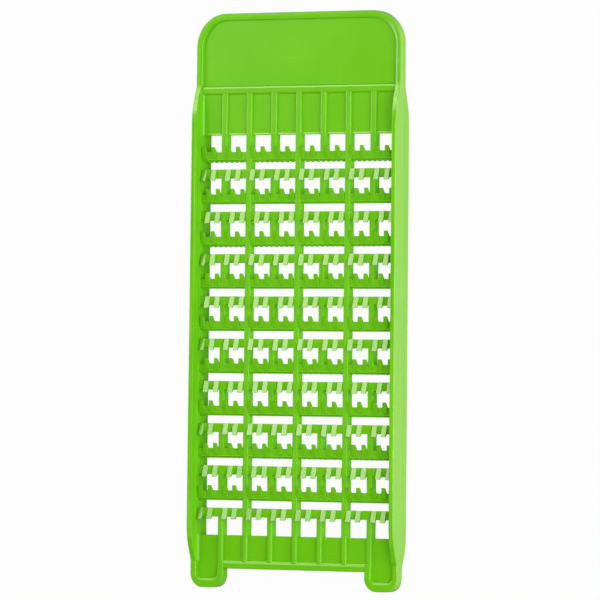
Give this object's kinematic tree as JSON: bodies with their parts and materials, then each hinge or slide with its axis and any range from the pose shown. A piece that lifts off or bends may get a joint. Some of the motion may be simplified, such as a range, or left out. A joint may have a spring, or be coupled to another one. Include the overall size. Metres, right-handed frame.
{
  "type": "vegetable grater",
  "caption": "Flat moulded vegetable grater with raised guide rails, a rounded handle head, ribbed toothed bars that cut in both directions, and feet that straddle a bowl.",
  "frame": {"origin": "middle of the box around the grater, on the plane of the rails' back edges", "axes": "+Z out of the toothed side, +Y along the length towards the head, +X to the right when the head is up"},
  "size_m": [0.1226, 0.3, 0.014],
  "materials": {
    "green_plastic": "satin moulded surface"
  },
  "bodies": {
    "root": {"head_rim": "green_plastic", "head_panel": "green_plastic", "head_ridge": "green_plastic", "left_rail": "green_plastic", "right_rail": "green_plastic", "left_foot": "green_plastic", "right_foot": "green_plastic", "entry_plate": "green_plastic", "exit_plate": "green_plastic", "exit_ridge": "green_plastic", "runner_rib_1": "green_plastic", "runner_rib_2": "green_plastic", "runner_rib_3": "green_plastic", "entry_rib_1": "green_plastic", "entry_rib_2": "green_plastic", "entry_rib_3": "green_plastic", "entry_rib_4": "green_plastic", "exit_rib_1": "green_plastic", "exit_rib_2": "green_plastic", "exit_rib_3": "green_plastic", "exit_rib_4": "green_plastic", "up_tooth_bar_1": "green_plastic", "up_tooth_bar_2": "green_plastic", "up_tooth_bar_3": "green_plastic", "up_tooth_bar_4": "green_plastic", "up_tooth_bar_5": "green_plastic", "up_tooth_bar_6": "green_plastic", "up_tooth_bar_7": "green_plastic", "up_tooth_bar_8": "green_plastic", "up_tooth_bar_9": "green_plastic", "down_tooth_bar_1": "green_plastic", "down_tooth_bar_2": "green_plastic", "down_tooth_bar_3": "green_plastic", "down_tooth_bar_4": "green_plastic", "down_tooth_bar_5": "green_plastic", "down_tooth_bar_6": "green_plastic", "down_tooth_bar_7": "green_plastic", "down_tooth_bar_8": "green_plastic", "down_tooth_bar_9": "green_plastic"}
  },
  "joints": []
}
